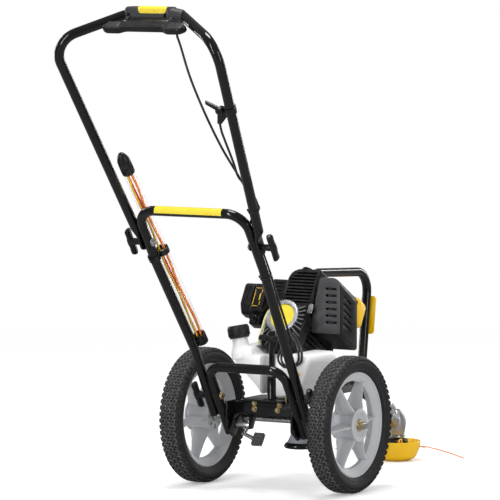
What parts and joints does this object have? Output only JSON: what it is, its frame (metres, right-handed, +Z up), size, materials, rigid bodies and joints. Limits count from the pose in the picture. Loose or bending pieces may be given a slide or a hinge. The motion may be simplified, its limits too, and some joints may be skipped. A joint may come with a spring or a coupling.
{
  "type": "wheeled string trimmer",
  "caption": "Walk-behind petrol string trimmer for mowing rough grass: folding tube handle, swivelling engine over a pale tank, sloping drive tube and a turning line head.",
  "frame": {"origin": "on the ground, in the middle of the machine's footprint", "axes": "+X to the operator's right, +Y forward to the cutting head, +Z up"},
  "size_m": [0.5456, 1.5478, 1.2652],
  "materials": {
    "aluminium": "cast and satin",
    "black_paint": "gloss black powder coat",
    "black_plastic": "fine moulded grain",
    "brass_steel": "yellow passivated zinc",
    "cable_black": "black cable sheath",
    "clear_plastic": "clear moulded plastic",
    "grey_plastic": "satin dark grey",
    "orange_line": "glossy orange",
    "pale_plastic": "satin pale grey",
    "rim_plastic": "satin light grey",
    "tank_plastic": "translucent white",
    "tyre_rubber": "matt black rubber",
    "yellow_plastic": "glossy yellow",
    "zinc_steel": "bright zinc plate"
  },
  "bodies": {
    "frame": {"crossmember": "black_paint", "base_loop": "black_paint", "axle": "zinc_steel", "axle_nut_left": "brass_steel", "axle_nut_right": "brass_steel", "swivel_post": "black_paint", "rest_foot_bell": "pale_plastic", "rest_foot_rim": "black_plastic", "lower_bolt_left": "brass_steel", "lower_bolt_right": "brass_steel", "base_cable": "cable_black"},
    "wheel_left": {"tyre_left": "tyre_rubber", "rim_left": "rim_plastic"},
    "wheel_right": {"tyre_right": "tyre_rubber", "rim_right": "rim_plastic"},
    "pedal": {"pedal_arm": "grey_plastic", "pedal_pad": "grey_plastic"},
    "middle": {"middle_handle": "black_paint", "storage_tube": "clear_plastic", "storage_foot": "black_plastic", "storage_clip": "black_plastic", "spare_line": "orange_line", "cable_pair": "cable_black", "upper_bolt_left": "zinc_steel", "upper_bolt_right": "zinc_steel"},
    "store_cap": {"storage_cap": "black_plastic"},
    "upper": {"upper_handle": "black_paint", "control_housing": "grey_plastic", "throttle_bracket": "black_plastic", "drive_cable": "cable_black", "throttle_cable": "cable_black"},
    "paddle": {"paddle_lever": "grey_plastic"},
    "throttle": {"throttle_lever": "black_plastic"},
    "lower_knob_left": {"lower_knob_left": "black_plastic"},
    "lower_knob_right": {"lower_knob_right": "black_plastic"},
    "upper_knob_left": {"upper_knob_left": "black_plastic"},
    "upper_knob_right": {"upper_knob_right": "black_plastic"},
    "power": {"carrier_frame": "black_paint", "fuel_tank": "tank_plastic", "fuel_line": "yellow_plastic", "bumper_hoop": "black_paint", "bumper_plate": "yellow_plastic", "gear_case": "aluminium", "head_shield": "zinc_steel", "engine_cable": "cable_black", "starter_housing": "black_plastic", "starter_ring": "aluminium", "crankcase": "black_plastic", "top_cover": "black_plastic", "muffler_guard": "grey_plastic", "air_filter_base": "black_plastic", "air_filter_cover": "black_plastic", "clutch_housing": "yellow_plastic", "drive_tube": "black_paint"},
    "fuel_cap": {"fuel_cap": "black_plastic"},
    "grip": {"starter_grip": "black_plastic"},
    "head": {"head_plate": "black_plastic", "ground_dish": "yellow_plastic", "cutting_line_across": "orange_line", "cutting_line_along": "orange_line"}
  },
  "joints": [
    {"name": "left_wheel_spin", "type": "hinge", "parent": "frame", "child": "wheel_left", "pos_m": [-0.22, -0.0815, 0.178], "axis": [1, 0, 0], "continuous": true},
    {"name": "right_wheel_spin", "type": "hinge", "parent": "frame", "child": "wheel_right", "pos_m": [0.22, -0.0815, 0.178], "axis": [1, 0, 0], "continuous": true},
    {"name": "handle_tilt", "type": "hinge", "parent": "frame", "child": "middle", "pos_m": [0, -0.1885, 0.245], "axis": [1, 0, 0], "range_deg": [-20, 12], "deforming": ["base_cable"]},
    {"name": "handle_fold", "type": "hinge", "parent": "middle", "child": "upper", "pos_m": [0, -0.45407, 0.66], "axis": [1, 0, 0], "range_deg": [0, 100], "deforming": ["drive_cable", "throttle_cable"]},
    {"name": "left_lower_knob_turn", "type": "hinge", "parent": "frame", "child": "lower_knob_left", "pos_m": [-0.1506, -0.1885, 0.245], "axis": [1, 0, 0], "continuous": true},
    {"name": "right_lower_knob_turn", "type": "hinge", "parent": "frame", "child": "lower_knob_right", "pos_m": [0.1506, -0.1885, 0.245], "axis": [1, 0, 0], "continuous": true},
    {"name": "left_upper_knob_turn", "type": "hinge", "parent": "middle", "child": "upper_knob_left", "pos_m": [-0.1778, -0.45407, 0.66], "axis": [1, 0, 0], "continuous": true},
    {"name": "right_upper_knob_turn", "type": "hinge", "parent": "middle", "child": "upper_knob_right", "pos_m": [0.1778, -0.45407, 0.66], "axis": [1, 0, 0], "continuous": true},
    {"name": "storage_cap_slide", "type": "slide", "parent": "middle", "child": "store_cap", "axis": [-0.0572, -0.5589, 0.8273], "range_m": [0, 0.04]},
    {"name": "paddle_press", "type": "hinge", "parent": "upper", "child": "paddle", "pos_m": [0, -0.702, 1.2322], "axis": [1, 0, 0], "range_deg": [0, 22], "stiffness_Nm_per_rad": 1.6, "springref_deg": -17.19},
    {"name": "throttle_turn", "type": "hinge", "parent": "upper", "child": "throttle", "pos_m": [0.19378, -0.68448, 1.01592], "axis": [0, -0.8445, -0.5355], "range_deg": [0, 55]},
    {"name": "pedal_press", "type": "hinge", "parent": "frame", "child": "pedal", "pos_m": [0, -0.1435, 0.166], "axis": [1, 0, 0], "range_deg": [0, 25], "stiffness_Nm_per_rad": 3, "springref_deg": -17.19},
    {"name": "swivel", "type": "hinge", "parent": "frame", "child": "power", "pos_m": [0, -0.1005, 0.231], "axis": [0, 0, 1], "range_deg": [-15, 15], "deforming": ["engine_cable"]},
    {"name": "fuel_cap_turn", "type": "hinge", "parent": "power", "child": "fuel_cap", "pos_m": [-0.09863, -0.0975, 0.38665], "axis": [-0.1908, 0, 0.9816], "continuous": true},
    {"name": "starter_pull", "type": "slide", "parent": "power", "child": "grip", "axis": [0, -0.866, 0.5], "range_m": [0, 0.38], "stiffness_N_per_m": 12, "springref_m": -0.3},
    {"name": "head_spin", "type": "hinge", "parent": "power", "child": "head", "pos_m": [0, 0.5735, 0], "axis": [0, 0, 1], "continuous": true}
  ]
}
